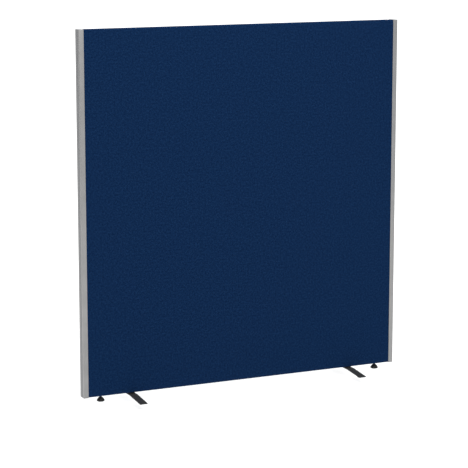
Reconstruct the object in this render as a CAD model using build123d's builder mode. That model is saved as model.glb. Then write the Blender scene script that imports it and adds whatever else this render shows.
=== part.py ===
from build123d import *
import os

os.makedirs("parts", exist_ok=True)

# An acoustic divider screen: a cloth covered panel between two aluminium edge posts.
# It stands on two levelling feet, and two cross bars keep it from tipping over.
# Sizes are in millimetres. X runs along the screen, the front is -Y and Z is up.
# The origin is on the floor, under the middle of the panel.

# Whole screen
screen_width = 1400.0
post_height = 1450.0
post_depth = 40.0
panel_lift = 24.0

# Layers of the panel, from the outside in
cloth_thickness = 1.0
foam_thickness = 3.0
board_thickness = 5.0
cloth_edge_radius = 3.5
layer_gap = 0.3

# Timber frame inside the panel
stile_width = 40.0
rail_height = 60.0
dowel_diameter = 8.0
dowel_length = 40.0
dowel_pitch = 28.0

# Edge posts, as one extruded section
post_face = 20.0
post_wall = 1.5
post_corner_radius = 2.0
lip_end_radius = 0.6
groove_depth = 5.0
groove_width = 22.0
slot_width = 18.0
cap_plate = 1.5
cap_edge_radius = 0.6
peg_length = 14.0
peg_gap = 0.2

# Filler strip in the linking groove
strip_flange = 1.2
strip_gap = 0.2

# Screws through the floor of the groove
post_screws_each_side = 5
screw_end_margin = 70.0
screw_diameter = 4.0
screw_length = 32.0
screw_head_diameter = 8.0
screw_head_height = 2.4
screw_head_radius = 0.8
screw_hole_gap = 0.25

# Threaded inserts in the bottom rail
thread_diameter = 8.0
thread_fit = 0.05
stud_bore_gap = 0.5
insert_diameter = 12.0
insert_length = 26.0
insert_flange_diameter = 18.0
insert_flange = 1.5
cloth_hole_gap = 0.5

# Levelling feet
foot_inset = 78.0
foot_up_travel = 4.0
pad_diameter = 32.0
pad_floor_diameter = 27.0
pad_edge_bottom = 2.0
pad_edge_top = 5.0
pad_rim_radius = 2.4
pad_hub_diameter = 13.0
pad_height = 17.5
pad_dome_rise = 1.0
ball_radius = 4.5
ball_centre_height = 6.5
ball_fit = 0.08
neck_diameter = 5.0
neck_gap = 0.6
shoulder_gap = 0.4
stud_length = 44.0
stud_chamfer = 1.0
spanner_flats = 6.5
spanner_height = 4.0

# Cross bars and what holds them
bar_inset = 208.0
bar_width = 33.0
bar_thickness = 3.0
bar_reach = 135.0
bar_flat_length = 56.0
bar_bend_radius = 12.0
bar_corner_radius = 2.5
bar_seat_height = 18.0
bar_tip_height = 3.5
bar_pivot_fit = 0.08
spacer_diameter = 30.0
spacer_edge = 0.8
washer_diameter = 20.0
washer_thickness = 1.6
bolt_head_height = 5.3
bolt_head_flats = 13.0
bolt_head_chamfer = 0.6
tip_pad_diameter = 22.0
tip_pad_inset = 25.0

# Overrun of the tools that cut right through
overrun = 1.0

# Heights that follow from the sizes above
section_length = post_height - 2 * cap_plate
panel_bottom = panel_lift
panel_top = panel_lift + section_length
panel_middle = (panel_bottom + panel_top) / 2
core_bottom = panel_bottom + cloth_thickness
core_top = panel_top - cloth_thickness
core_height = core_top - core_bottom

# Places across the screen
half_width = screen_width / 2
panel_half_width = half_width - groove_depth - 2 * post_wall
joint_x = panel_half_width - stile_width
foot_x = half_width - foot_inset
bar_x = half_width - bar_inset
groove_middle_x = half_width - post_wall - groove_depth / 2
foot_places = [(-foot_x, 0), (foot_x, 0)]
bar_places = [(-bar_x, 0), (bar_x, 0)]
insert_places = foot_places + bar_places

# Places from front to back
panel_depth = post_depth - 2 * post_wall
board_outer_y = panel_depth / 2 - cloth_thickness - foam_thickness
core_depth = 2 * (board_outer_y - board_thickness)

sides = {"left": -1, "right": 1}
faces = {"front": -1, "back": 1}


def dowel_heights(rail_middle):
    """Heights of the two dowels at each end of a rail."""
    return [rail_middle - dowel_pitch / 2, rail_middle + dowel_pitch / 2]


# Timber frame
rail_middles = {
    "rail_top": core_top - rail_height / 2,
    "rail_middle": panel_middle,
    "rail_bottom": core_bottom + rail_height / 2,
}
all_dowel_heights = [z for middle in rail_middles.values() for z in dowel_heights(middle)]
screw_pitch = (section_length - 2 * screw_end_margin) / (post_screws_each_side - 1)
screw_heights = [
    panel_bottom + screw_end_margin + index * screw_pitch for index in range(post_screws_each_side)
]
screw_tip_depth = screw_length - post_wall
shoulder_height = pad_height + shoulder_gap
stud_bore_top = shoulder_height + stud_length + foot_up_travel + shoulder_gap

for side_name, side in sides.items():
    with BuildPart() as stile:
        with Locations((side * (panel_half_width - stile_width / 2), 0, panel_middle)):
            Box(stile_width, core_depth, core_height)
        with BuildSketch(Plane.YZ.offset(side * joint_x)):
            with Locations(*[(0, z) for z in all_dowel_heights]):
                Circle(dowel_diameter / 2)
        extrude(amount=side * dowel_length / 2, mode=Mode.SUBTRACT)
        with BuildSketch(Plane.YZ.offset(side * panel_half_width)):
            with Locations(*[(0, z) for z in screw_heights]):
                Circle(screw_diameter / 2)
        extrude(amount=-side * screw_tip_depth, mode=Mode.SUBTRACT)
    stile.part.label = f"stile_{side_name}"
    export_step(stile.part, f"parts/stile_{side_name}.step")

for rail_name, rail_centre in rail_middles.items():
    with BuildPart() as rail:
        with Locations((0, 0, rail_centre)):
            Box(2 * joint_x, core_depth, rail_height)
        for side in sides.values():
            with BuildSketch(Plane.YZ.offset(side * joint_x)):
                with Locations(*[(0, z) for z in dowel_heights(rail_centre)]):
                    Circle(dowel_diameter / 2)
            extrude(amount=-side * dowel_length / 2, mode=Mode.SUBTRACT)
        if rail_name == "rail_bottom":
            # Bores for the threaded inserts, and deeper ones for the studs above them
            with BuildSketch(Plane.XY.offset(core_bottom)):
                with Locations(*insert_places):
                    Circle(insert_diameter / 2)
            extrude(amount=insert_length - cloth_thickness, mode=Mode.SUBTRACT)
            with BuildSketch(Plane.XY.offset(core_bottom)):
                with Locations(*foot_places):
                    Circle(thread_diameter / 2 + stud_bore_gap)
            extrude(amount=stud_bore_top - core_bottom, mode=Mode.SUBTRACT)
    rail.part.label = rail_name
    export_step(rail.part, f"parts/{rail_name}.step")

with BuildPart() as frame_dowels:
    for side in sides.values():
        with BuildSketch(Plane.YZ.offset(side * joint_x)):
            with Locations(*[(0, z) for z in all_dowel_heights]):
                Circle(dowel_diameter / 2)
        extrude(amount=dowel_length / 2, both=True)
frame_dowels.part.label = "frame_dowels"
export_step(frame_dowels.part, "parts/frame_dowels.step")

# Acoustic filling in the two bays between the rails
bay_height = (core_height - 3 * rail_height) / 2
bay_offset = (rail_height + bay_height) / 2

for bay_name, direction in {"upper": 1, "lower": -1}.items():
    with BuildPart() as infill:
        with Locations((0, 0, panel_middle + direction * bay_offset)):
            Box(2 * (joint_x - layer_gap), core_depth - 2 * layer_gap, bay_height - 2 * layer_gap)
    infill.part.label = f"infill_{bay_name}"
    export_step(infill.part, f"parts/infill_{bay_name}.step")

# Boards and foam on both faces of the frame
for face_name, face in faces.items():
    with BuildPart() as board:
        with Locations((0, face * (board_outer_y - board_thickness / 2), panel_middle)):
            Box(2 * panel_half_width, board_thickness, core_height)
    board.part.label = f"board_{face_name}"
    export_step(board.part, f"parts/board_{face_name}.step")

    with BuildPart() as foam:
        with Locations((0, face * (board_outer_y + foam_thickness / 2), panel_middle)):
            Box(2 * panel_half_width, foam_thickness, core_height)
        long_edges = foam.edges().filter_by(Axis.X).sort_by(Axis.Y)
        outer_edges = long_edges[:2] if face < 0 else long_edges[-2:]
        fillet(outer_edges, cloth_edge_radius - cloth_thickness)
    foam.part.label = f"foam_{face_name}"
    export_step(foam.part, f"parts/foam_{face_name}.step")

# Cloth cover: a sleeve round the panel, with holes for the four inserts underneath
with BuildPart() as cloth_cover:
    with BuildSketch(Plane.YZ.offset(-panel_half_width)):
        with Locations((0, panel_middle)):
            RectangleRounded(panel_depth, section_length, cloth_edge_radius)
            RectangleRounded(
                panel_depth - 2 * cloth_thickness,
                core_height,
                cloth_edge_radius - cloth_thickness,
                mode=Mode.SUBTRACT,
            )
    extrude(amount=2 * panel_half_width)
    with BuildSketch(Plane.XY.offset(panel_bottom)):
        with Locations(*insert_places):
            Circle(insert_diameter / 2 + cloth_hole_gap)
    extrude(amount=cloth_thickness, mode=Mode.SUBTRACT)
cloth_cover.part.label = "cloth_cover"
export_step(cloth_cover.part, "parts/cloth_cover.step")

# Edge posts with their grip channel, linking groove and two closed chambers
chamber_width = post_depth / 2 - groove_width / 2 - 2 * post_wall
chamber_y = post_depth / 2 - post_wall - chamber_width / 2
grip_length = post_face - groove_depth - 2 * post_wall

for side_name, side in sides.items():
    with BuildPart() as edge_post:
        with BuildSketch(Plane.XY.offset(panel_bottom)) as post_section:
            with Locations((side * (half_width - post_face / 2), 0)):
                Rectangle(post_face, post_depth)
            corners = post_section.vertices().sort_by(Axis.X)
            outer_corners = corners[:2] if side < 0 else corners[-2:]
            fillet(outer_corners, post_corner_radius)
            with Locations((side * (panel_half_width - grip_length / 2), 0)):
                Rectangle(grip_length, panel_depth, mode=Mode.SUBTRACT)
            with Locations((side * groove_middle_x, 0)):
                Rectangle(groove_depth, groove_width, mode=Mode.SUBTRACT)
            with Locations((side * (half_width - post_wall / 2), 0)):
                Rectangle(post_wall, slot_width, mode=Mode.SUBTRACT)
            with Locations((side * groove_middle_x, -chamber_y), (side * groove_middle_x, chamber_y)):
                Rectangle(groove_depth, chamber_width, mode=Mode.SUBTRACT)
            lip_corners = post_section.vertices().sort_by(Axis.X)
            inner_corners = lip_corners[-4:] if side < 0 else lip_corners[:4]
            fillet(inner_corners, lip_end_radius)
        extrude(amount=section_length)
        with BuildSketch(Plane.YZ.offset(side * panel_half_width)):
            with Locations(*[(0, z) for z in screw_heights]):
                Circle(screw_diameter / 2 + screw_hole_gap)
        extrude(amount=side * post_wall, mode=Mode.SUBTRACT)
    edge_post.part.label = f"edge_post_{side_name}"
    export_step(edge_post.part, f"parts/edge_post_{side_name}.step")

    with BuildPart() as link_strip:
        with BuildSketch(Plane.XY.offset(panel_bottom)):
            with Locations((side * (half_width - post_wall / 2), 0)):
                Rectangle(post_wall, slot_width - 2 * strip_gap)
            with Locations((side * (half_width - post_wall - strip_flange / 2), 0)):
                Rectangle(strip_flange, groove_width - 2 * strip_gap)
        extrude(amount=section_length)
    link_strip.part.label = f"link_strip_{side_name}"
    export_step(link_strip.part, f"parts/link_strip_{side_name}.step")

    # End caps: a plate over the section, and two pegs in its chambers
    for end_name, end in {"top": 1, "bottom": -1}.items():
        end_height = panel_top if end > 0 else panel_bottom
        with BuildPart() as end_cap:
            with BuildSketch(Plane.XY.offset(end_height)) as cap_outline:
                with Locations((side * (half_width - post_face / 2), 0)):
                    Rectangle(post_face, post_depth)
                corners = cap_outline.vertices().sort_by(Axis.X)
                outer_corners = corners[:2] if side < 0 else corners[-2:]
                fillet(outer_corners, post_corner_radius)
            extrude(amount=end * cap_plate)
            rim = end_cap.faces().sort_by(Axis.Z)[-1 if end > 0 else 0].edges()
            fillet(rim, cap_edge_radius)
            with BuildSketch(Plane.XY.offset(end_height)):
                with Locations(
                    (side * groove_middle_x, -chamber_y), (side * groove_middle_x, chamber_y)
                ):
                    Rectangle(groove_depth - 2 * peg_gap, chamber_width - 2 * peg_gap)
            extrude(amount=-end * peg_length)
        end_cap.part.label = f"cap_{end_name}_{side_name}"
        export_step(end_cap.part, f"parts/cap_{end_name}_{side_name}.step")

# Screws that hold the posts on the stiles, in the floor of the linking grooves
with BuildPart() as post_screws:
    for side in sides.values():
        head_seat = side * (panel_half_width + post_wall)
        with BuildSketch(Plane.YZ.offset(head_seat)):
            with Locations(*[(0, z) for z in screw_heights]):
                Circle(screw_head_diameter / 2)
        extrude(amount=side * screw_head_height)
    head_rims = post_screws.edges().filter_by(GeomType.CIRCLE).sort_by(Axis.X)
    outer_rims = head_rims[:post_screws_each_side] + head_rims[-post_screws_each_side:]
    fillet(outer_rims, screw_head_radius)
    for side in sides.values():
        with BuildSketch(Plane.YZ.offset(side * (panel_half_width + post_wall))):
            with Locations(*[(0, z) for z in screw_heights]):
                Circle(screw_diameter / 2)
        extrude(amount=-side * screw_length)
post_screws.part.label = "post_screws"
export_step(post_screws.part, "parts/post_screws.step")

# Flanged inserts in the bottom rail, for the feet and the cross bars
with BuildPart() as threaded_inserts:
    with BuildSketch(Plane.XY.offset(panel_bottom)):
        with Locations(*insert_places):
            Circle(insert_diameter / 2)
    extrude(amount=insert_length)
    with BuildSketch(Plane.XY.offset(panel_bottom - insert_flange)):
        with Locations(*insert_places):
            Circle(insert_flange_diameter / 2)
    extrude(amount=insert_flange)
    with BuildSketch(Plane.XY.offset(panel_bottom - insert_flange)):
        with Locations(*insert_places):
            Circle(thread_diameter / 2 + thread_fit)
    extrude(amount=insert_flange + insert_length, mode=Mode.SUBTRACT)
threaded_inserts.part.label = "threaded_inserts"
export_step(threaded_inserts.part, "parts/threaded_inserts.step")

# Levelling feet: a domed pad with a ball socket, and a stud that ends in the ball
flange_bottom = panel_bottom - insert_flange

for side_name, side in sides.items():
    foot_axis = Axis((side * foot_x, 0, 0), (0, 0, 1))
    foot_plane = Plane(origin=(side * foot_x, 0, 0), x_dir=(1, 0, 0), z_dir=(0, -1, 0))

    with BuildPart() as foot_pad:
        with BuildSketch(foot_plane) as pad_profile:
            with BuildLine():
                Polyline(
                    (pad_hub_diameter / 2, pad_height),
                    (0, pad_height),
                    (0, 0),
                    (pad_floor_diameter / 2, 0),
                    (pad_diameter / 2, pad_edge_bottom),
                    (pad_diameter / 2, pad_edge_top),
                )
                SagittaArc(
                    (pad_diameter / 2, pad_edge_top), (pad_hub_diameter / 2, pad_height), -pad_dome_rise
                )
            make_face()
            fillet(pad_profile.vertices().group_by(Axis.X)[-1], pad_rim_radius)
        revolve(axis=foot_axis)
        with Locations((side * foot_x, 0, ball_centre_height)):
            Sphere(ball_radius + ball_fit, mode=Mode.SUBTRACT)
        with BuildSketch(Plane.XY.offset(pad_height)):
            with Locations((side * foot_x, 0)):
                Circle(neck_diameter / 2 + neck_gap)
        extrude(amount=ball_centre_height - pad_height, mode=Mode.SUBTRACT)
    foot_pad.part.label = f"foot_pad_{side_name}"
    export_step(foot_pad.part, f"parts/foot_pad_{side_name}.step")

    with BuildPart() as foot_stud:
        with BuildSketch(Plane.XY.offset(shoulder_height)):
            with Locations((side * foot_x, 0)):
                Circle(thread_diameter / 2)
        extrude(amount=stud_length)
        stud_rims = foot_stud.edges().filter_by(GeomType.CIRCLE).sort_by(Axis.Z)
        chamfer(stud_rims[-1], stud_chamfer)
        # Two flats for a spanner, just above the pad
        with BuildSketch(Plane.XY.offset(shoulder_height)):
            with Locations((side * foot_x, 0)):
                Circle(thread_diameter)
                Rectangle(2 * thread_diameter, spanner_flats, mode=Mode.SUBTRACT)
        extrude(amount=spanner_height, mode=Mode.SUBTRACT)
        with Locations((side * foot_x, 0, ball_centre_height)):
            Sphere(ball_radius)
        with BuildSketch(Plane.XY.offset(ball_centre_height)):
            with Locations((side * foot_x, 0)):
                Circle(neck_diameter / 2)
        extrude(amount=shoulder_height - ball_centre_height)
    foot_stud.part.label = f"foot_stud_{side_name}"
    export_step(foot_stud.part, f"parts/foot_stud_{side_name}.step")

# Cross bars: flat under the panel, then sloping down to both tips
bar_bottom = bar_seat_height - bar_thickness
bar_fall = bar_bottom - bar_tip_height
half_flat = bar_flat_length / 2
spacer_height = flange_bottom - bar_seat_height

for side_name, side in sides.items():
    with BuildPart() as cross_bar:
        with BuildSketch(Plane.YZ.offset(side * bar_x - bar_width / 2)) as bar_profile:
            with BuildLine():
                Polyline(
                    (-bar_reach, bar_tip_height),
                    (-half_flat, bar_bottom),
                    (half_flat, bar_bottom),
                    (bar_reach, bar_tip_height),
                    (bar_reach, bar_tip_height + bar_thickness),
                    (half_flat, bar_seat_height),
                    (-half_flat, bar_seat_height),
                    (-bar_reach, bar_tip_height + bar_thickness),
                    close=True,
                )
            make_face()
            lower_bends = bar_profile.vertices().filter_by_position(Axis.X, -half_flat, half_flat)
            fillet(lower_bends.group_by(Axis.Y)[0], bar_bend_radius)
            upper_bends = bar_profile.vertices().filter_by_position(Axis.X, -half_flat, half_flat)
            fillet(upper_bends.group_by(Axis.Y)[-1], bar_bend_radius + bar_thickness)
        extrude(amount=bar_width)
        tip_corners = cross_bar.edges().filter_by(Axis.Z)
        fillet(tip_corners, bar_corner_radius)
        with BuildSketch(Plane.XY.offset(bar_bottom)):
            with Locations((side * bar_x, 0)):
                Circle(thread_diameter / 2 + bar_pivot_fit)
        extrude(amount=bar_thickness, mode=Mode.SUBTRACT)
    cross_bar.part.label = f"cross_bar_{side_name}"
    export_step(cross_bar.part, f"parts/cross_bar_{side_name}.step")

    # Rubber pads between the sloping tips and the floor
    with BuildPart() as tip_pads:
        with BuildSketch(Plane.XY):
            for direction in faces.values():
                with Locations((side * bar_x, direction * (bar_reach - tip_pad_inset))):
                    Circle(tip_pad_diameter / 2)
        extrude(amount=bar_bottom)
        with BuildSketch(Plane.YZ.offset(side * bar_x - bar_width / 2)):
            with BuildLine():
                Polyline(
                    (-bar_reach, bar_tip_height),
                    (-half_flat, bar_bottom),
                    (half_flat, bar_bottom),
                    (bar_reach, bar_tip_height),
                    (bar_reach, bar_bottom + overrun),
                    (-bar_reach, bar_bottom + overrun),
                    close=True,
                )
            make_face()
        extrude(amount=bar_width, mode=Mode.SUBTRACT)
    tip_pads.part.label = f"tip_pads_{side_name}"
    export_step(tip_pads.part, f"parts/tip_pads_{side_name}.step")

    with BuildPart() as bar_spacer:
        with BuildSketch(Plane.XY.offset(bar_seat_height)):
            with Locations((side * bar_x, 0)):
                Circle(spacer_diameter / 2)
        extrude(amount=spacer_height)
        chamfer(bar_spacer.edges().filter_by(GeomType.CIRCLE), spacer_edge)
        with BuildSketch(Plane.XY.offset(bar_seat_height)):
            with Locations((side * bar_x, 0)):
                Circle(thread_diameter / 2 + thread_fit)
        extrude(amount=spacer_height, mode=Mode.SUBTRACT)
    bar_spacer.part.label = f"bar_spacer_{side_name}"
    export_step(bar_spacer.part, f"parts/bar_spacer_{side_name}.step")

    with BuildPart() as bar_washer:
        with BuildSketch(Plane.XY.offset(bar_bottom - washer_thickness)):
            with Locations((side * bar_x, 0)):
                Circle(washer_diameter / 2)
                Circle(thread_diameter / 2 + thread_fit, mode=Mode.SUBTRACT)
        extrude(amount=washer_thickness)
    bar_washer.part.label = f"bar_washer_{side_name}"
    export_step(bar_washer.part, f"parts/bar_washer_{side_name}.step")

    with BuildPart() as bar_bolt:
        with BuildSketch(Plane.XY.offset(bar_bottom - washer_thickness - bolt_head_height)):
            with Locations((side * bar_x, 0)):
                RegularPolygon(bolt_head_flats / 2, 6, major_radius=False)
        extrude(amount=bolt_head_height)
        chamfer(bar_bolt.faces().sort_by(Axis.Z)[0].edges(), bolt_head_chamfer)
        with BuildSketch(Plane.XY.offset(bar_bottom - washer_thickness)):
            with Locations((side * bar_x, 0)):
                Circle(thread_diameter / 2)
        extrude(amount=panel_bottom + insert_length - bar_bottom + washer_thickness)
    bar_bolt.part.label = f"bar_bolt_{side_name}"
    export_step(bar_bolt.part, f"parts/bar_bolt_{side_name}.step")
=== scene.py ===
import math
import bpy
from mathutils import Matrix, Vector, noise


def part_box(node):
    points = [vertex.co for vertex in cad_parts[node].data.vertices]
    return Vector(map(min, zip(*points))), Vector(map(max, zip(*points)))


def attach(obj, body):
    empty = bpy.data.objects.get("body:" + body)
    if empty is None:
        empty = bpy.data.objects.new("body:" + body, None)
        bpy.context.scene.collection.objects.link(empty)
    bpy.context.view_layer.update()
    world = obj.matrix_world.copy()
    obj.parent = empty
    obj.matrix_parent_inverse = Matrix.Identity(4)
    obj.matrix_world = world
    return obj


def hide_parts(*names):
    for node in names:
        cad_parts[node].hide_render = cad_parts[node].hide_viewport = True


# An acoustic divider screen: a cloth covered panel between two aluminium edge posts,
# on two levelling feet and two cross bars. Everything is in metres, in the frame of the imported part.
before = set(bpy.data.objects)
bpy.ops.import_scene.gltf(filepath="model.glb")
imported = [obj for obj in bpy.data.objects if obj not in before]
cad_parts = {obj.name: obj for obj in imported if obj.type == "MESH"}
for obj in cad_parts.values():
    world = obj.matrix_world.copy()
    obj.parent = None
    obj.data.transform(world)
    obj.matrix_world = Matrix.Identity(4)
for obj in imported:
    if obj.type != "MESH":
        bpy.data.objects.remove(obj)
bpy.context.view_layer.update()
mm = 0.001
sides = {"left": -1, "right": 1}
faces = {"front": -1, "back": 1}
print("frame loaded,", len(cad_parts), "nodes")


# Small tools for the mesh work
meshTools = {
    "mergeWithin": 0.002 * mm,    # vertices closer than this are one
    "flatDegrees": 0.3,           # faces that meet at less than this become one
    "sharpDegrees": 32,           # edges sharper than this are rounded and not shaded smooth
}


def deselectAll():
    if bpy.context.mode != "OBJECT":
        bpy.ops.object.mode_set(mode="OBJECT")
    bpy.ops.object.select_all(action="DESELECT")


def makeActive(piece):
    deselectAll()
    piece.select_set(True)
    bpy.context.view_layer.objects.active = piece


# Edit mode with only the wanted faces, edges or vertices selected; wanted gets the mesh element and its mesh
def editWith(piece, kind, wanted):
    makeActive(piece)
    bpy.ops.object.mode_set(mode="EDIT")
    bpy.ops.mesh.select_mode(type=kind)
    bpy.ops.mesh.select_all(action="DESELECT")
    bpy.ops.object.mode_set(mode="OBJECT")
    mesh = piece.data
    elements = {"VERT": mesh.vertices, "EDGE": mesh.edges, "FACE": mesh.polygons}[kind]
    for element in elements:
        element.select = bool(wanted(element, mesh))
    bpy.ops.object.mode_set(mode="EDIT")


def leaveEdit():
    bpy.ops.object.mode_set(mode="OBJECT")


def edgeEnds(edge, mesh):
    return [mesh.vertices[index].co for index in edge.vertices]


# Merges doubles and turns every face outwards
def cleanMesh(piece, distance=meshTools["mergeWithin"]):
    editWith(piece, "VERT", lambda element, mesh: True)
    bpy.ops.mesh.remove_doubles(threshold=distance)
    bpy.ops.mesh.select_all(action="SELECT")
    bpy.ops.mesh.normals_make_consistent(inside=False)
    leaveEdit()


def applyModifier(piece, kind, **settings):
    makeActive(piece)
    modifier = piece.modifiers.new(kind.title(), kind)
    for name, value in settings.items():
        setattr(modifier, name, value)
    bpy.ops.object.modifier_apply(modifier=modifier.name)


# The object goes back to the origin, unturned and unscaled, with its place in its mesh
def settle(piece):
    makeActive(piece)
    bpy.ops.object.transform_apply(location=True, rotation=True, scale=True)


def addBlock(name, low, high):
    deselectAll()
    middle = [(a + b) / 2 for a, b in zip(low, high)]
    size = [b - a for a, b in zip(low, high)]
    bpy.ops.mesh.primitive_cube_add(size=1, location=middle, scale=size)
    piece = bpy.context.object
    piece.name = name
    settle(piece)
    return piece


def addRod(name, radius, low, high, place):
    deselectAll()
    middle = (place[0], place[1], (low + high) / 2)
    bpy.ops.mesh.primitive_cylinder_add(
        vertices=32, radius=radius, depth=high - low, location=middle)
    piece = bpy.context.object
    piece.name = name
    settle(piece)
    return piece


# Cuts the mesh across at each place, to give it more faces there
def cutAcross(piece, axis, places):
    normal = [1.0 if index == axis else 0.0 for index in range(3)]
    editWith(piece, "FACE", lambda element, mesh: True)
    for place in places:
        point = [place if index == axis else 0.0 for index in range(3)]
        bpy.ops.mesh.select_all(action="SELECT")
        bpy.ops.mesh.bisect(plane_co=point, plane_no=normal)
    leaveEdit()


def subtract(piece, cutter):
    applyModifier(piece, "BOOLEAN", object=cutter, operation="DIFFERENCE", solver="EXACT")
    bpy.data.objects.remove(cutter)


def joinInto(piece, others):
    makeActive(piece)
    for other in others:
        other.select_set(True)
    bpy.ops.object.join()
    return piece


def copyMoved(piece, name, move):
    twin = piece.copy()
    twin.data = piece.data.copy()
    twin.name = name
    bpy.context.collection.objects.link(twin)
    twin.location = Vector(twin.location) + Vector(move)
    settle(twin)
    return twin


def smoothShade(piece, degrees=meshTools["sharpDegrees"]):
    makeActive(piece)
    bpy.ops.object.shade_smooth_by_angle(angle=math.radians(degrees))


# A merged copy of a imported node, with its small edges rounded as the real piece has them
def copyNode(node, name, edgeRadius):
    piece = bpy.data.objects.new(name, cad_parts[node].data.copy())
    bpy.context.collection.objects.link(piece)
    makeActive(piece)
    bpy.ops.object.mode_set(mode="EDIT")
    bpy.ops.mesh.select_all(action="SELECT")
    bpy.ops.mesh.remove_doubles(threshold=meshTools["mergeWithin"])
    bpy.ops.mesh.dissolve_limited(angle_limit=math.radians(meshTools["flatDegrees"]))
    leaveEdit()
    applyModifier(piece, "BEVEL", width=edgeRadius, segments=2,
                  limit_method="ANGLE", angle_limit=math.radians(meshTools["sharpDegrees"]))
    smoothShade(piece)
    return piece


# A line of vertices from point to point, each given as radius and height
def drawProfile(name, points):
    deselectAll()
    bpy.ops.mesh.primitive_plane_add(size=mm)
    piece = bpy.context.object
    piece.name = name
    bpy.ops.object.mode_set(mode="EDIT")
    bpy.ops.mesh.select_mode(type="VERT")
    bpy.ops.mesh.select_all(action="SELECT")
    bpy.ops.mesh.merge(type="CENTER")
    bpy.ops.transform.translate(value=(points[0][0], 0, points[0][1]))
    for start, end in zip(points, points[1:]):
        step = (end[0] - start[0], 0, end[1] - start[1])
        bpy.ops.mesh.extrude_region_move(TRANSFORM_OT_translate={"value": step})
    leaveEdit()
    return piece


# A turned piece: the profile spun once round the upright axis through the place
def turnPiece(name, points, place, steps):
    piece = drawProfile(name, points)
    editWith(piece, "VERT", lambda element, mesh: True)
    bpy.ops.mesh.spin(steps=steps, angle=2 * math.pi, center=(0, 0, 0), axis=(0, 0, 1))
    leaveEdit()
    piece.location = (place[0], place[1], 0)
    settle(piece)
    cleanMesh(piece)
    return piece


def arcPoints(centre, radius, startDegrees, endDegrees, count):
    angles = [math.radians(startDegrees + (endDegrees - startDegrees) * step / count)
              for step in range(count + 1)]
    return [(centre[0] + radius * math.cos(a), centre[1] + radius * math.sin(a)) for a in angles]


# What every finished piece gets: its name, its finish and its body; the nodes that it stands for are hidden.
# The slot is not used
def dress(piece, name, finish, body, slot, *nodes):
    piece.name = name
    piece.data.name = name
    piece.data.materials.clear()
    piece.data.materials.append(finish)
    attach(piece, body)
    if nodes:
        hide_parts(*nodes)


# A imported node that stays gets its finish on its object
def finishNode(node, finish):
    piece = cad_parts[node]
    for holder in piece.material_slots:
        holder.link = "OBJECT"
        holder.material = finish


# Small tools for the finishes

# An sRGB hex colour as the linear values that a socket takes
def linearOf(hexColour):
    channels = [int(hexColour[place:place + 2], 16) / 255 for place in (1, 3, 5)]
    linear = [c / 12.92 if c <= 0.04045 else ((c + 0.055) / 1.055) ** 2.4 for c in channels]
    return (*linear, 1.0)


# A texture scale that gives features of this many millimetres
def featureOf(millimetres):
    return 1000.0 / millimetres


def newFinish(name, values):
    finish = bpy.data.materials.new(name)
    finish.use_nodes = True
    shader = finish.node_tree.nodes["Principled BSDF"]
    for socket, value in values.items():
        shader.inputs[socket].default_value = value
    return finish, finish.node_tree, shader


# Adds a node with its settings, socket values, ramp stops and links; a link is (node, output)
def addNode(tree, kind, settings=None, values=None, links=None, stops=()):
    node = tree.nodes.new("ShaderNode" + kind)
    for name, value in (settings or {}).items():
        setattr(node, name, value)
    for name, value in (values or {}).items():
        node.inputs[name].default_value = value
    for name, (source, output) in (links or {}).items():
        tree.links.new(source.outputs[output], node.inputs[name])
    if stops:
        elements = node.color_ramp.elements
        while len(elements) < len(stops):
            elements.new(0.5)
        for element, (position, colour) in zip(elements, stops):
            element.position = position
            element.color = linearOf(colour) if isinstance(colour, str) else (colour, colour, colour, 1)
    return node


def linkTo(tree, node, output, shader, socket):
    tree.links.new(node.outputs[output], shader.inputs[socket])


# Finishes

# A wave texture's band is this share of a unit at scale 1
waveBand = 0.314

# Woven crepe upholstery cloth: dull, soft, with a fine pebbled weave in two near shades of navy
wovenCloth = {
    "darkYarn": "#031a39", "midYarn": "#082141", "lightYarn": "#0f294a", "fuzz": "#2a4f86",
    "threadPitch": 1.1,      # mm, warp and weft of a crepe upholstery cloth
    "pebble": 2.2,           # mm, clumps of the crepe weave
    "mottle": 7.0,           # mm, unevenness of the dye, coarse enough to show from across a room
    "reliefDepth": 0.22,     # mm
    "shadeStops": (0.36, 0.5, 0.64),
    # colour factors that paint shade into the weave's hollows and light onto its crests
    "paintedHollowShade": 0.66, "paintedCrestLight": 1.22,
}


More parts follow.
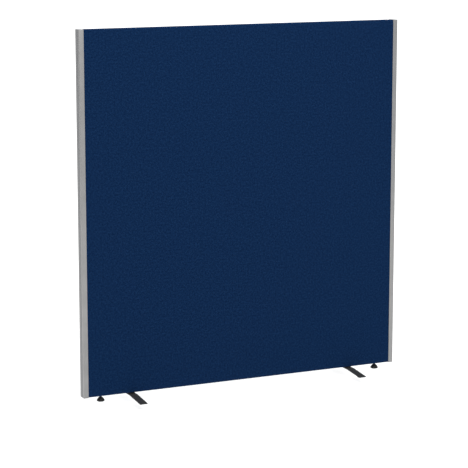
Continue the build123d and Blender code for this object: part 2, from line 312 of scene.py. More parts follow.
def makeWovenCloth():
    finish, tree, shader = newFinish("navyWovenCloth", {
        "Roughness": 1.0, "IOR": 1.46, "Specular IOR Level": 0.08,
        "Sheen Weight": 0.05, "Sheen Roughness": 0.6, "Sheen Tint": linearOf(wovenCloth["fuzz"]),
    })
    weave = addNode(tree, "UVMap", {"uv_map": "weave"})
    mottle = addNode(tree, "TexNoise", values={
        "Scale": featureOf(wovenCloth["mottle"]), "Detail": 3.0, "Roughness": 0.72,
    }, links={"Vector": (weave, "UV")})
    yarns = [wovenCloth["darkYarn"], wovenCloth["midYarn"], wovenCloth["lightYarn"]]
    shades = addNode(tree, "ValToRGB", links={"Fac": (mottle, "Fac")},
                     stops=list(zip(wovenCloth["shadeStops"], yarns)))
    pebble = addNode(tree, "TexVoronoi", {"feature": "SMOOTH_F1"}, {
        "Scale": featureOf(wovenCloth["pebble"]), "Smoothness": 0.6, "Randomness": 1.0,
    }, {"Vector": (weave, "UV")})
    warp, weft = [addNode(tree, "TexWave", {"bands_direction": way}, {
        "Scale": waveBand * featureOf(wovenCloth["threadPitch"]), "Distortion": 1.2,
        "Detail": 2.0, "Detail Scale": 2.0,
    }, {"Vector": (weave, "UV")}) for way in ("X", "Y")]
    threads = addNode(tree, "Math", {"operation": "MULTIPLY"}, links={
        0: (warp, "Fac"), 1: (weft, "Fac")})
    relief = addNode(tree, "Math", {"operation": "ADD"}, links={
        0: (threads, "Value"), 1: (pebble, "Distance")})
    bump = addNode(tree, "Bump", values={
        "Strength": 0.8, "Distance": wovenCloth["reliefDepth"] * mm,
    }, links={"Height": (relief, "Value")})
    # Painted shade and light: the colour follows the weave relief, darker in the hollows between the threads
    # and lighter on the crests
    paintedReliefShading = addNode(tree, "MapRange", values={
        "From Min": 0.0, "From Max": 1.2,
        "To Min": wovenCloth["paintedHollowShade"], "To Max": wovenCloth["paintedCrestLight"],
    }, links={"Value": (relief, "Value")})
    tint = addNode(tree, "VectorMath", {"operation": "SCALE"}, links={
        0: (shades, "Color"), "Scale": (paintedReliefShading, "Result")})
    linkTo(tree, tint, "Vector", shader, "Base Color")
    linkTo(tree, bump, "Normal", shader, "Normal")
    return finish


# Satin silver anodised aluminium, extruded: soft reflections drawn out along the die lines
anodised = {
    "silver": "#929292", "silverDark": "#8b8b8b",
    "dieLine": 0.35,         # mm, width of the fine lines that the die leaves
    "cloud": 45.0,           # mm, slow change of tone along the length
    "lineDepth": 0.004,      # mm
    "gloss": (0.45, 0.58),   # roughness, from line to line
}


def makeAnodised():
    finish, tree, shader = newFinish("anodisedAluminium", {"Metallic": 0.76, "Roughness": 0.5})
    place = addNode(tree, "TexCoord")
    alongPost = addNode(tree, "Mapping", values={"Scale": (1.0, 1.0, 0.01)},
                        links={"Vector": (place, "Object")})
    lines = addNode(tree, "TexNoise", values={
        "Scale": featureOf(anodised["dieLine"]), "Detail": 2.0, "Roughness": 0.6,
    }, links={"Vector": (alongPost, "Vector")})
    cloud = addNode(tree, "TexNoise", values={
        "Scale": featureOf(anodised["cloud"]), "Detail": 2.0,
    }, links={"Vector": (place, "Object")})
    tone = addNode(tree, "ValToRGB", links={"Fac": (cloud, "Fac")}, stops=[
        (0.3, anodised["silverDark"]), (0.7, anodised["silver"])])
    gloss = addNode(tree, "MapRange", links={"Value": (lines, "Fac")}, values={
        "To Min": anodised["gloss"][0], "To Max": anodised["gloss"][1]})
    bump = addNode(tree, "Bump", values={"Strength": 0.5, "Distance": anodised["lineDepth"] * mm},
                   links={"Height": (lines, "Fac")})
    linkTo(tree, tone, "Color", shader, "Base Color")
    linkTo(tree, gloss, "Result", shader, "Roughness")
    linkTo(tree, bump, "Normal", shader, "Normal")
    return finish


# Plastics and coatings share one build: a ground tone, a grain and its relief
def makeGrained(name, values, darkTone, lightTone, grain, relief, roughness, stretch=(1, 1, 1)):
    finish, tree, shader = newFinish(name, values)
    place = addNode(tree, "TexCoord")
    drawn = addNode(tree, "Mapping", values={"Scale": stretch}, links={"Vector": (place, "Object")})
    specks = addNode(tree, "TexNoise", values={
        "Scale": featureOf(grain), "Detail": 3.0, "Roughness": 0.6,
    }, links={"Vector": (drawn, "Vector")})
    tone = addNode(tree, "ValToRGB", links={"Fac": (specks, "Fac")}, stops=[
        (0.35, darkTone), (0.65, lightTone)])
    gloss = addNode(tree, "MapRange", values={"To Min": roughness[0], "To Max": roughness[1]},
                    links={"Value": (specks, "Fac")})
    bump = addNode(tree, "Bump", values={"Strength": 0.6, "Distance": relief * mm},
                   links={"Height": (specks, "Fac")})
    linkTo(tree, tone, "Color", shader, "Base Color")
    linkTo(tree, gloss, "Result", shader, "Roughness")
    linkTo(tree, bump, "Normal", shader, "Normal")
    return finish


# Planed softwood with its rings as long bands; the grain runs up a stile or along a rail
softwood = {
    "early": "#e3c796", "middle": "#d3ac72", "late": "#b98a51",
    "ringPitch": 3.0,        # mm, growth rings of a slow grown pine
    "fibre": 0.6,            # mm
    "fibreDepth": 0.05,      # mm
    "gloss": (0.5, 0.7),     # roughness
}


def makeSoftwood(name, turn):
    finish, tree, shader = newFinish(name, {"IOR": 1.5, "Specular IOR Level": 0.4})
    place = addNode(tree, "TexCoord")
    along = addNode(tree, "Mapping", values={"Rotation": turn, "Scale": (1.0, 1.0, 0.05)},
                    links={"Vector": (place, "Object")})
    rings = addNode(tree, "TexWave", {"wave_type": "BANDS", "bands_direction": "DIAGONAL"}, {
        "Scale": waveBand * featureOf(softwood["ringPitch"]), "Distortion": 5.0,
        "Detail": 2.0, "Detail Scale": 0.6,
    }, {"Vector": (along, "Vector")})
    fibres = addNode(tree, "TexNoise", values={"Scale": featureOf(softwood["fibre"]), "Detail": 3.0},
                     links={"Vector": (along, "Vector")})
    tone = addNode(tree, "ValToRGB", links={"Fac": (rings, "Fac")}, stops=[
        (0.1, softwood["early"]), (0.7, softwood["middle"]), (0.95, softwood["late"])])
    gloss = addNode(tree, "MapRange", links={"Value": (fibres, "Fac")}, values={
        "To Min": softwood["gloss"][0], "To Max": softwood["gloss"][1]})
    bump = addNode(tree, "Bump", values={"Strength": 0.5, "Distance": softwood["fibreDepth"] * mm},
                   links={"Height": (fibres, "Fac")})
    linkTo(tree, tone, "Color", shader, "Base Color")
    linkTo(tree, gloss, "Result", shader, "Roughness")
    linkTo(tree, bump, "Normal", shader, "Normal")
    return finish


# Fibrous and cellular layers: threads or cells of a given size, rough and dull
def makeFibrous(name, darkTone, midTone, lightTone, cell, stretch, relief):
    finish, tree, shader = newFinish(name, {"Roughness": 0.95, "IOR": 1.45, "Specular IOR Level": 0.2})
    place = addNode(tree, "TexCoord")
    laid = addNode(tree, "Mapping", values={"Scale": stretch}, links={"Vector": (place, "Object")})
    strands = addNode(tree, "TexNoise", values={
        "Scale": featureOf(cell), "Detail": 5.0, "Roughness": 0.65, "Distortion": 1.5,
    }, links={"Vector": (laid, "Vector")})
    cells = addNode(tree, "TexVoronoi", values={"Scale": featureOf(cell)},
                    links={"Vector": (laid, "Vector")})
    mixed = addNode(tree, "Math", {"operation": "MULTIPLY"}, links={
        0: (strands, "Fac"), 1: (cells, "Distance")})
    tone = addNode(tree, "ValToRGB", links={"Fac": (strands, "Fac")}, stops=[
        (0.3, darkTone), (0.5, midTone), (0.7, lightTone)])
    bump = addNode(tree, "Bump", values={"Strength": 0.7, "Distance": relief * mm},
                   links={"Height": (mixed, "Value")})
    linkTo(tree, tone, "Color", shader, "Base Color")
    linkTo(tree, bump, "Normal", shader, "Normal")
    return finish


navyCloth = makeWovenCloth()
anodisedAluminium = makeAnodised()
# Moulded grey nylon: a dull fine spark grain, about as light as the metal beside it
greyNylon = makeGrained(
    "mouldedGreyNylon", {"IOR": 1.53}, darkTone="#8d8e90", lightTone="#949597",
    grain=0.5, relief=0.012, roughness=(0.45, 0.6))
# Extruded grey vinyl: smoother, faint lines along its length
greyVinyl = makeGrained(
    "extrudedGreyVinyl", {"IOR": 1.53}, darkTone="#5d5e60", lightTone="#656668",
    grain=0.6, relief=0.006, roughness=(0.4, 0.5), stretch=(1, 1, 0.02))
# Textured powder coat on steel: dark grey, with an orange peel that breaks up the shine
powderCoat = makeGrained(
    "powderCoatedSteel", {"IOR": 1.5}, darkTone="#242424", lightTone="#2c2c2c",
    grain=0.9, relief=0.05, roughness=(0.45, 0.62))
# Moulded black nylon: black with a weak soft shine
blackNylon = makeGrained(
    "mouldedBlackNylon", {"IOR": 1.53, "Specular IOR Level": 0.25}, darkTone="#0f0f10", lightTone="#171718",
    grain=0.6, relief=0.012, roughness=(0.42, 0.58))
# Black oxide on steel: nearly black, with a dull metal shine
blackOxide = makeGrained(
    "blackOxideSteel", {"Metallic": 0.8}, darkTone="#1d1e20", lightTone="#2a2b2d",
    grain=1.2, relief=0.01, roughness=(0.35, 0.5))
# Bright zinc plate: cool and clean, slightly cloudy
zincPlate = makeGrained(
    "zincPlatedSteel", {"Metallic": 1.0}, darkTone="#b6b9bc", lightTone="#cdcfd0",
    grain=3.0, relief=0.01, roughness=(0.22, 0.36))
# Black rubber: matt, with no shine to speak of
blackRubber = makeGrained(
    "blackRubber", {"IOR": 1.52}, darkTone="#131313", lightTone="#1b1b1b",
    grain=0.8, relief=0.03, roughness=(0.7, 0.85))
uprightPine = makeSoftwood("planedPineUpright", (0, 0, 0))
crosswisePine = makeSoftwood("planedPineCrosswise", (0, math.radians(90), 0))
# Beech dowels: pale pink brown with short flecks along the dowel
beech = makeGrained(
    "turnedBeech", {"IOR": 1.5}, darkTone="#c39a6b", lightTone="#d4b084",
    grain=1.0, relief=0.03, roughness=(0.5, 0.65), stretch=(0.1, 1, 1))
# Pressed fibre board: brown, with short fibres lying in its face
fibreBoard = makeFibrous(
    "pressedFibreBoard", "#6d5136", "#83654a", "#977a5a", cell=2.5, stretch=(1, 0.4, 1), relief=0.04)
# Open celled foam: pale cream, with a soft broken surface
openFoam = makeFibrous(
    "openCellFoam", "#cfc7b2", "#dcd5c2", "#e6e0cf", cell=1.4, stretch=(1, 1, 1), relief=0.3)
# Mineral wool: strands lying in layers, parallel to the faces of the slab
mineralWool = makeFibrous(
    "mineralWool", "#a48c55", "#bda56d", "#d0bb86", cell=4.0, stretch=(0.5, 2.0, 1.0), relief=0.6)
print("finishes made,", len(bpy.data.materials))


# Camera, from the photograph's angle
photoView = {"place": (-3.239, -6.763, 1.968), "turn": 25.34, "downTilt": 10.15, "lens": 144.66,
             "sensorWidth": 36.0, "farthest": 200.0}


def makeCamera():
    camera = bpy.data.cameras.new("photoCamera")
    camera.sensor_width = photoView["sensorWidth"]
    camera.lens = photoView["lens"]
    camera.clip_end = photoView["farthest"]
    holder = bpy.data.objects.new("photoCamera", camera)
    holder.location = photoView["place"]
    holder.rotation_euler = (
        math.radians(90 - photoView["downTilt"]), 0, -math.radians(photoView["turn"]))
    bpy.context.collection.objects.link(holder)
    bpy.context.scene.camera = holder


# Studio: an even white surround, a light from above that whitens the floor, and a weak soft box in front.
# The floor lies just lower than a levelling foot reaches when it is screwed right out
studio = {
    "floorHalf": 70.0, "floorHeight": -21 * mm, "floorDark": "#f2f2f2", "floorPale": "#f4f4f4",
    "floorScale": 0.6,            # per metre, faint patches on the floor
    "surround": 0.80,
    "topLight": 2.35, "topSoftness": 24.0,
    "keyPlace": (-0.3, -2.05, 3.4), "keyAim": (0.0, 0.0, 1.2), "keySize": 1.6, "keyPower": 37.0,
}


def makeStudio():
    deselectAll()
    bpy.ops.mesh.primitive_plane_add(size=2 * studio["floorHalf"], location=(0, 0, studio["floorHeight"]))
    floor = bpy.context.object
    floor.name = "studioFloor"
    finish, tree, shader = newFinish("paleFloor", {"Roughness": 0.9, "Specular IOR Level": 0.0})
    place = addNode(tree, "TexCoord")
    soft = addNode(tree, "TexNoise", values={"Scale": studio["floorScale"]},
                   links={"Vector": (place, "Object")})
    tone = addNode(tree, "ValToRGB", links={"Fac": (soft, "Fac")}, stops=[
        (0.3, studio["floorDark"]), (0.7, studio["floorPale"])])
    linkTo(tree, tone, "Color", shader, "Base Color")
    floor.data.materials.append(finish)

    # What the camera sees past the floor is plain white; the pieces are lit by the surround's own strength
    world = bpy.data.worlds.new("whiteSurround")
    world.use_nodes = True
    tree = world.node_tree
    tree.nodes.clear()
    rays = addNode(tree, "LightPath")
    lighting = addNode(tree, "Background", values={"Strength": studio["surround"]})
    seen = addNode(tree, "Background", values={"Strength": 1.0})
    for background in (lighting, seen):
        background.inputs["Color"].default_value = (1, 1, 1, 1)
    either = addNode(tree, "MixShader", links={
        0: (rays, "Is Camera Ray"), 1: (lighting, "Background"), 2: (seen, "Background")})
    addNode(tree, "OutputWorld", links={"Surface": (either, "Shader")})
    bpy.context.scene.world = world

    # From straight above, and without a shadow, so that the floor under the panel stays white
    wash = bpy.data.lights.new("topLight", "SUN")
    wash.energy = studio["topLight"]
    wash.angle = math.radians(studio["topSoftness"])
    wash.use_shadow = False
    holder = bpy.data.objects.new("topLight", wash)
    holder.visible_glossy = False      # no glint on the caps and the top of the cloth
    bpy.context.collection.objects.link(holder)

    key = bpy.data.lights.new("keyLight", "AREA")
    key.size = studio["keySize"]
    key.energy = studio["keyPower"]
    holder = bpy.data.objects.new("keyLight", key)
    holder.location = studio["keyPlace"]
    holder.visible_camera = False
    aim = Vector(studio["keyAim"]) - Vector(studio["keyPlace"])
    holder.rotation_euler = aim.to_track_quat("-Z", "Y").to_euler()
    bpy.context.collection.objects.link(holder)
    bpy.context.scene.view_settings.view_transform = "Standard"


makeCamera()
makeStudio()
print("camera and studio made")


# Cloth cover: a sleeve pulled over the foam, gripped by the posts at both ends
clothCover = {
    "halfLength": 692 * mm, "depth": 37 * mm, "low": 24 * mm, "high": 1471 * mm,
    "thickness": 1.0 * mm, "edgeRadius": 3.5 * mm, "roundSteps": 6,
    "lipAt": 680 * mm,            # where the posts' lips end
    "squeeze": 0.15 * mm,         # pressed in under the lips
    "swell": 0.7 * mm,            # how far the foam lifts the cloth between the posts
    "settleOver": 14 * mm,        # how soon after the lip it reaches that
    "slack": 0.22 * mm,           # slow unevenness of a stretched cloth
    "slackWaves": (3.1, 40, 2.6),     # per metre, along x, y and z
    "lipSteps": (-6, 0, 1.5, 3, 5, 8, 11, 15, 22),     # mm inwards from the lip, where the mesh is cut
    "gridStep": 32 * mm,
    "seamAt": 11.5 * mm, "seamWidth": 1.4 * mm, "seamDepth": 0.5 * mm,
    "insertHole": 6.5 * mm, "holeReach": 4 * mm,
}
insertPlaces = [-622 * mm, -492 * mm, 492 * mm, 622 * mm]


def smoothStep(value):
    value = min(max(value, 0.0), 1.0)
    return value * value * (3 - 2 * value)


# Places from start to end, about one step apart
def spread(start, end, step):
    count = max(1, round((end - start) / step))
    return [start + (end - start) * index / count for index in range(1, count)]


def makeClothCover():
    size = clothCover
    half, low, high = size["depth"] / 2, size["low"], size["high"]
    piece = addBlock("cloth_sleeve", (-size["halfLength"], -half, low), (size["halfLength"], half, high))
    editWith(piece, "FACE", lambda face, mesh: abs(face.normal.x) > 0.9)
    bpy.ops.mesh.delete(type="ONLY_FACE")
    editWith(piece, "EDGE", lambda edge, mesh: edgeEnds(edge, mesh)[0].x * edgeEnds(edge, mesh)[1].x < 0)
    bpy.ops.mesh.bevel(offset=size["edgeRadius"], segments=size["roundSteps"], affect="EDGES")
    leaveEdit()

    lip = size["lipAt"]
    nearLip = [lip - step * mm for step in size["lipSteps"]]
    columns = spread(-nearLip[-1], nearLip[-1], size["gridStep"]) + nearLip + [-x for x in nearLip]
    cutAcross(piece, 0, columns)
    cutAcross(piece, 2, spread(low + size["edgeRadius"], high - size["edgeRadius"], size["gridStep"]))
    seam = size["seamAt"]
    cutAcross(piece, 1, [seam - size["seamWidth"] / 2, seam, seam + size["seamWidth"] / 2, 0.0])

    # Distance round the sleeve, for the weave
    weaveMap = piece.data.uv_layers.new(name="weave")
    for face in piece.data.polygons:
        up = face.normal.z
        for loop in face.loop_indices:
            point = piece.data.vertices[piece.data.loops[loop].vertex_index].co
            if abs(up) < 0.7:
                way = point.z - low if face.normal.y < 0 else 2 * high - low - point.z + size["depth"]
            else:
                way = high - low + point.y + half if up > 0 else -half - point.y
            weaveMap.data[loop].uv = (point.x, way)

    for vertex in piece.data.vertices:
        place = vertex.co
        free = smoothStep((lip - abs(place.x)) / size["settleOver"])
        lift = free * (size["swell"] + size["squeeze"]) - size["squeeze"]
        if free > 0:
            spot = Vector([rate * value for rate, value in zip(size["slackWaves"], place)])
            lift += free * size["slack"] * noise.noise(spot)
        upright = min(1.0, abs(place.y) / (half - size["edgeRadius"])) ** 3
        place.y += math.copysign(lift * upright, place.y) if abs(place.y) > 1e-6 else 0.0
        nearEnd = max(place.z - (high - size["edgeRadius"]), (low + size["edgeRadius"]) - place.z, 0.0)
        crown = lift * smoothStep(nearEnd / size["edgeRadius"])
        if place.z > high - size["edgeRadius"]:
            place.z += crown
        elif abs(place.y - seam) < 0.1 * mm:
            place.z += size["seamDepth"]

    cleanMesh(piece)
    applyModifier(piece, "SOLIDIFY", thickness=size["thickness"], offset=-1)
    for x in insertPlaces:
        subtract(piece, addRod("hole", size["insertHole"], low - size["holeReach"],
                               low + size["holeReach"], (x, 0)))
    smoothShade(piece, 60)
    dress(piece, "cloth_sleeve", navyCloth, "screen", "cloth", "cloth_cover")


# Foam sheets glued on the boards, with their outer edges eased for the cloth
foamSheet = {"inner": 14.5 * mm, "outer": 17.5 * mm, "low": 25 * mm, "high": 1470 * mm,
             "halfLength": 692 * mm, "edgeRadius": 2.5 * mm, "gridStep": 70 * mm, "swell": 0.5 * mm,
             "squeeze": 0.2 * mm, "lipSteps": (6 * mm, 20 * mm), "endMargin": 4 * mm}


def makeFoamSheets():
    size = foamSheet
    for faceName, face in faces.items():
        near, far = sorted((face * size["inner"], face * size["outer"]))
        piece = addBlock("foam", (-size["halfLength"], near, size["low"]),
                         (size["halfLength"], far, size["high"]))
        outer = face * size["outer"]
        editWith(piece, "EDGE", lambda edge, mesh: (
            edgeEnds(edge, mesh)[0].x * edgeEnds(edge, mesh)[1].x < 0
            and abs(edgeEnds(edge, mesh)[0].y - outer) < 0.1 * mm))
        bpy.ops.mesh.bevel(offset=size["edgeRadius"], segments=4, affect="EDGES")
        leaveEdit()
        lip = clothCover["lipAt"]
        short, long = size["lipSteps"]
        cutAcross(piece, 0, spread(-lip + long, lip - long, size["gridStep"])
                  + [lip, lip - short, lip - long, -lip, -lip + short, -lip + long])
        cutAcross(piece, 2, spread(size["low"] + size["endMargin"], size["high"] - size["endMargin"],
                                   size["gridStep"]))
        for vertex in piece.data.vertices:
            if abs(vertex.co.y) > abs(size["outer"]) - 0.1 * mm:
                free = smoothStep((lip - abs(vertex.co.x)) / clothCover["settleOver"])
                vertex.co.y += face * (free * size["swell"] - (1 - free) * size["squeeze"])
        cleanMesh(piece)
        smoothShade(piece, 50)
        dress(piece, "foam_sheet_" + faceName, openFoam, "screen", "foam", "foam_" + faceName)


# Mineral wool slabs, cut to the two bays and slightly crowned
woolSlab = {"halfLength": 651.7 * mm, "halfDepth": 9.2 * mm, "gridStep": 22 * mm,
            "edgeRadius": 2.0 * mm, "unevenness": 0.5 * mm, "dipsPerMetre": 38}


def makeWoolSlabs():
    size = woolSlab
    for bayName in ("upper", "lower"):
        low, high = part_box("infill_" + bayName)
        piece = addBlock("wool", (-size["halfLength"], -size["halfDepth"], low[2]),
                         (size["halfLength"], size["halfDepth"], high[2]))
        editWith(piece, "EDGE", lambda edge, mesh: True)
        bpy.ops.mesh.bevel(offset=size["edgeRadius"], segments=3, affect="EDGES")
        leaveEdit()
        inside = size["halfLength"] - size["edgeRadius"]
        cutAcross(piece, 0, spread(-inside, inside, size["gridStep"]))
        cutAcross(piece, 2, spread(low[2] + size["edgeRadius"], high[2] - size["edgeRadius"],
                                   size["gridStep"]))
        cleanMesh(piece)
        for vertex in piece.data.vertices:
            dip = 0.5 + 0.5 * noise.noise(vertex.co * size["dipsPerMetre"])
            vertex.co.y -= math.copysign(size["unevenness"] * dip, vertex.co.y)
        smoothShade(piece, 50)
        dress(piece, "wool_slab_" + bayName, mineralWool, "screen", "acoustic_filling", "infill_" + bayName)


makeClothCover()
makeFoamSheets()
makeWoolSlabs()
print("cloth, foam and wool made")


# Staples that hold the sleeve's butted seam under the panel
stapleRow = {
    "crown": 10 * mm, "wire": 1.2 * mm, "flat": 0.5 * mm, "pitch": 62 * mm,
    "clear": 22 * mm,             # kept free beside an insert
    "straightShare": 0.6, "bendStep": 0.35 * mm, "bendRise": 0.6 * mm, "edge": 0.15 * mm,
    "rowEnd": 0.66,
}


def makeStaples():
    size = stapleRow
    seam, low = clothCover["seamAt"], clothCover["low"]
    straight = size["crown"] / 2 * size["straightShare"]
    first = addBlock("staple", (-size["wire"] / 2, seam - straight, low - size["flat"]),
                     (size["wire"] / 2, seam + straight, low))
    editWith(first, "FACE", lambda face, mesh: abs(face.normal.y) > 0.9)
    bpy.ops.mesh.extrude_faces_move(TRANSFORM_OT_shrink_fatten={"value": size["bendStep"]})
    leaveEdit()
    for vertex in first.data.vertices:
        if abs(vertex.co.y - seam) > straight + 0.1 * mm:
            vertex.co.z += size["bendRise"]      # the crown turns up into its legs
    applyModifier(first, "BEVEL", width=size["edge"], segments=2)
    places = [x for x in spread(-size["rowEnd"], size["rowEnd"], size["pitch"])
              if all(abs(x - other) > size["clear"] for other in insertPlaces)]
    copies = [copyMoved(first, "staple", (x, 0, 0)) for x in places]
    bpy.data.objects.remove(first)
    row = joinInto(copies[0], copies[1:])
    smoothShade(row)
    dress(row, "seam_staples", zincPlate, "screen", "zinc_steel")


makeStaples()


# Edge posts, filler strips and caps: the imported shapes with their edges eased
postParts = {"postEdge": 0.25 * mm, "stripEdge": 0.25 * mm, "capEdge": 0.2 * mm}


def makePosts():
    for sideName in sides:
        post = copyNode("edge_post_" + sideName, "post", postParts["postEdge"])
        dress(post, "post_profile_" + sideName, anodisedAluminium, "screen",
              "post_aluminium", "edge_post_" + sideName)
        strip = copyNode("link_strip_" + sideName, "strip", postParts["stripEdge"])
        dress(strip, "groove_strip_" + sideName, greyVinyl, "screen",
              "strip_plastic", "link_strip_" + sideName)
        for endName in ("top", "bottom"):
            node = "cap_" + endName + "_" + sideName
            cap = copyNode(node, "cap", postParts["capEdge"])
            dress(cap, "end_" + node, greyNylon, "screen", "cap_plastic", node)


makePosts()
print("posts, strips and caps made")


# Under the panel: bars, pads, spacers, washers and bolts, with the edges that cutting and moulding leave.
# Each row: name, finish, body, slot, edge radius
underParts = {
    "cross_bar": ("flat_bar", powderCoat, "bar", "bar_paint", 0.45 * mm),
    "tip_pads": ("bar_tip_pads", blackRubber, "bar", "tip_rubber", 0.6 * mm),
    "bar_spacer": ("spacer_disc", blackNylon, "screen", "foot_plastic", 0.25 * mm),
    "bar_washer": ("flat_washer", zincPlate, "screen", "zinc_steel", 0.2 * mm),
    "bar_bolt": ("hexagon_bolt", zincPlate, "screen", "zinc_steel", 0.2 * mm),
}
insertEdge = 0.15 * mm


def makeUnderParts():
    for sideName in sides:
        for node, (name, finish, body, slot, edgeRadius) in underParts.items():
            piece = copyNode(node + "_" + sideName, name, edgeRadius)
            bodyName = body if body == "screen" else body + "_" + sideName
            dress(piece, name + "_" + sideName, finish, bodyName, slot, node + "_" + sideName)
    inserts = copyNode("threaded_inserts", "inserts", insertEdge)
    dress(inserts, "flanged_inserts", zincPlate, "screen", "zinc_steel", "threaded_inserts")


makeUnderParts()
print("bars and what holds them made")


# Threads grow from the outline of one turn: its flanks and crest are shares of the pitch
threadTools = {"mergeWithin": 0.01 * mm, "cutWithin": 0.001 * mm}


def makeThread(size):
    pitch = size["pitch"]
    profile = [(size["root"], 0.0)] + [
        (size["root"] if index in (0, 3) else size["outer"], share * pitch)
        for index, share in enumerate(size["turnShares"])]
    piece = drawProfile("thread", profile)
    turnCount = math.ceil((size["high"] - size["low"]) / pitch) + 3
    applyModifier(piece, "SCREW", screw_offset=pitch, iterations=turnCount, steps=size["steps"],
                  render_steps=size["steps"], axis="Z", use_merge_vertices=True,
                  merge_threshold=threadTools["mergeWithin"])
    piece.location = (0, 0, size["low"] - 2 * pitch)
    settle(piece)
    cleanMesh(piece, threadTools["mergeWithin"])
    for height, upwards in ((size["low"], -1), (size["high"], 1)):
        editWith(piece, "FACE", lambda face, mesh: True)
        bpy.ops.mesh.bisect(plane_co=(0, 0, height), plane_no=(0, 0, upwards), use_fill=True,
                            clear_outer=True, threshold=threadTools["cutWithin"])
        leaveEdit()
    # The end runs in to its point
    for vertex in piece.data.vertices:
        radius = math.hypot(vertex.co.x, vertex.co.y)
        along = max(0.0, 1 - (size["high"] - vertex.co.z) / size["pointLength"])
        allowed = size["outer"] + (size["pointRadius"] - size["outer"]) * along
        if radius > allowed:
            vertex.co.x *= allowed / radius
            vertex.co.y *= allowed / radius
    cleanMesh(piece, threadTools["mergeWithin"])
    return piece


# Levelling feet: a moulded dome over a ball joint, and a stud with a real thread
levellingFoot = {
    "placeX": 622 * mm, "cupRadius": 4.58 * mm, "ballRadius": 4.5 * mm, "ballHeight": 6.5 * mm,
    "neckHole": 3.1 * mm, "neckRadius": 2.5 * mm,
    "hubTop": 17.5 * mm, "hubRadius": 6.5 * mm, "hubEdge": 0.4 * mm,
    "domeRise": 0.85 * mm,        # how far the side bulges between the hub and the rim
    "rimAt": (13.35 * mm, 3.6 * mm), "rimRadius": 2.65 * mm, "rimFrom": 40, "rimTo": -55,     # degrees
    "soleRadius": 13.3 * mm, "soleEdge": 0.2 * mm, "hollowRadius": 10.5 * mm, "hollowDepth": 0.8 * mm,
}
studThread = {"outer": 3.98 * mm, "root": 3.35 * mm, "pitch": 1.25 * mm, "low": 22.2 * mm,
              "high": 61.9 * mm, "pointLength": 1.0 * mm, "pointRadius": 2.98 * mm, "steps": 32,
              "turnShares": (0.2, 0.55, 0.68, 1.0)}
collar = {"low": 17.9 * mm, "flatTop": 21.9 * mm, "top": 22.8 * mm, "edge": 0.3 * mm,
          "radius": 4.0 * mm, "flatHalf": 3.25 * mm}


# Points of a shallow bow from start to end, which stands out from the straight line in its middle
def bowPoints(start, end, rise, count):
    wide, high = end[0] - start[0], end[1] - start[1]
    length = math.hypot(wide, high)
    points = []
    for step in range(count + 1):
        share = step / count
        out = 4 * rise * share * (1 - share)
        points.append((start[0] + wide * share - out * high / length,
                       start[1] + high * share + out * wide / length))
    return points


def makeFootPad(sideName, side):
    size = levellingFoot
    neckAngle = math.degrees(math.acos(size["neckHole"] / size["cupRadius"]))
    points = arcPoints((0, size["ballHeight"]), size["cupRadius"], -90, neckAngle, 14)
    points += [(size["neckHole"], size["hubTop"]), (size["hubRadius"] - size["hubEdge"], size["hubTop"])]
    rim = arcPoints(size["rimAt"], size["rimRadius"], size["rimFrom"], size["rimTo"], 8)
    points += bowPoints((size["hubRadius"], size["hubTop"] - size["hubEdge"]), rim[0], size["domeRise"], 10)
    points += rim[1:]
    points += [(size["soleRadius"], size["soleEdge"]), (size["soleRadius"] - 2 * size["soleEdge"], 0.0),
               (size["hollowRadius"], 0.0), (size["hollowRadius"] - size["soleEdge"], size["hollowDepth"]),
               (0.0, size["hollowDepth"])]
    pad = turnPiece("pad", points, (side * size["placeX"], 0), steps=64)
    smoothShade(pad, 40)
    dress(pad, "levelling_pad_" + sideName, blackNylon, "pad_" + sideName,
          "foot_plastic", "foot_pad_" + sideName)


def makeStud(sideName, side, threadPiece):
    size = levellingFoot
    place = (side * size["placeX"], 0)
    neckAngle = math.degrees(math.acos(size["neckRadius"] / size["ballRadius"]))
    points = arcPoints((0, size["ballHeight"]), size["ballRadius"], -90, neckAngle, 14)
    eased = collar["radius"] - collar["edge"]
    points += [(size["neckRadius"], collar["low"]), (eased, collar["low"]),
               (collar["radius"], collar["low"] + collar["edge"]),
               (collar["radius"], collar["top"] - collar["edge"]),
               (eased, collar["top"]), (0, collar["top"])]
    stud = turnPiece("stud", points, place, steps=40)
    wide = 2 * collar["radius"]
    for face in faces.values():
        near, far = sorted((face * collar["flatHalf"], face * wide))
        subtract(stud, addBlock("flat", (place[0] - wide, near, collar["low"] - collar["edge"]),
                                (place[0] + wide, far, collar["flatTop"])))
    stud = joinInto(stud, [copyMoved(threadPiece, "thread", (place[0], 0, 0))])
    smoothShade(stud, 30)
    dress(stud, "threaded_stud_" + sideName, blackOxide, "stud_" + sideName,
          "black_steel", "foot_stud_" + sideName)


threadPiece = makeThread(studThread)
for sideName, side in sides.items():
    makeFootPad(sideName, side)
    makeStud(sideName, side, threadPiece)
bpy.data.objects.remove(threadPiece)
print("levelling feet made")


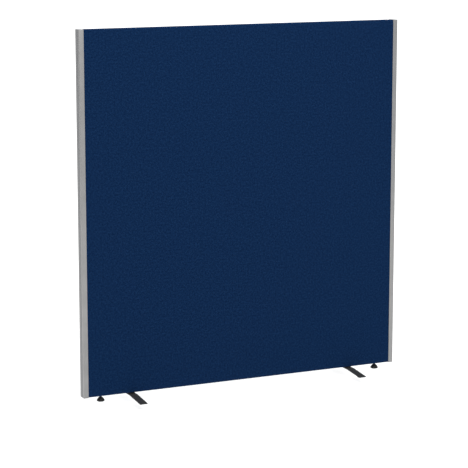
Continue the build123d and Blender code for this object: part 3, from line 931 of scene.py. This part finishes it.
# Wood screws in the floors of the grooves: a pan head with a cross recess, a coarse thread and a point
woodScrew = {
    "headRadius": 4.0 * mm, "headHeight": 2.4 * mm, "headEdge": 0.8 * mm,
    "recessReach": 2.1 * mm, "recessWidth": 0.9 * mm, "recessDepth": 1.5 * mm,
    "seatX": 693.5 * mm, "count": 5, "lowest": 94 * mm, "highest": 1401 * mm,
}
screwThread = {"outer": 1.98 * mm, "root": 1.4 * mm, "pitch": 1.8 * mm, "low": -0.2 * mm,
               "high": 32 * mm, "pointLength": 5.0 * mm, "pointRadius": 0.15 * mm, "steps": 20,
               "turnShares": (0.55, 0.76, 0.82, 1.0)}


def makeScrews():
    size = woodScrew
    low = -size["headHeight"]
    rounding = arcPoints((size["headRadius"] - size["headEdge"], low + size["headEdge"]),
                         size["headEdge"], 0, -90, 5)
    first = turnPiece("screw", [(0.0, 0.0), (size["headRadius"], 0.0)] + rounding + [(0.0, low)],
                      (0, 0), steps=32)
    reach, half = size["recessReach"], size["recessWidth"] / 2
    for wide, deep in ((reach, half), (half, reach)):
        subtract(first, addBlock("recess", (-wide, -deep, low - half),
                                 (wide, deep, low + size["recessDepth"])))
    first = joinInto(first, [makeThread(screwThread)])
    pitch = (size["highest"] - size["lowest"]) / (size["count"] - 1)
    copies = []
    for side in sides.values():
        for index in range(size["count"]):
            screw = copyMoved(first, "screw", (0, 0, 0))
            screw.rotation_euler = (0, -side * math.radians(90), 0)
            screw.location = (side * size["seatX"], 0, size["lowest"] + index * pitch)
            settle(screw)
            copies.append(screw)
    bpy.data.objects.remove(first)
    row = joinInto(copies[0], copies[1:])
    smoothShade(row, 30)
    dress(row, "wood_screws", zincPlate, "screen", "zinc_steel", "post_screws")


makeScrews()
print("screws made")


# Timber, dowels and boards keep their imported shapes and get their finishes
for node in ("stile_left", "stile_right"):
    finishNode(node, uprightPine)
for node in ("rail_top", "rail_middle", "rail_bottom"):
    finishNode(node, crosswisePine)
finishNode("frame_dowels", beech)
for node in ("board_front", "board_back"):
    finishNode(node, fibreBoard)

deselectAll()
print("all pieces made")
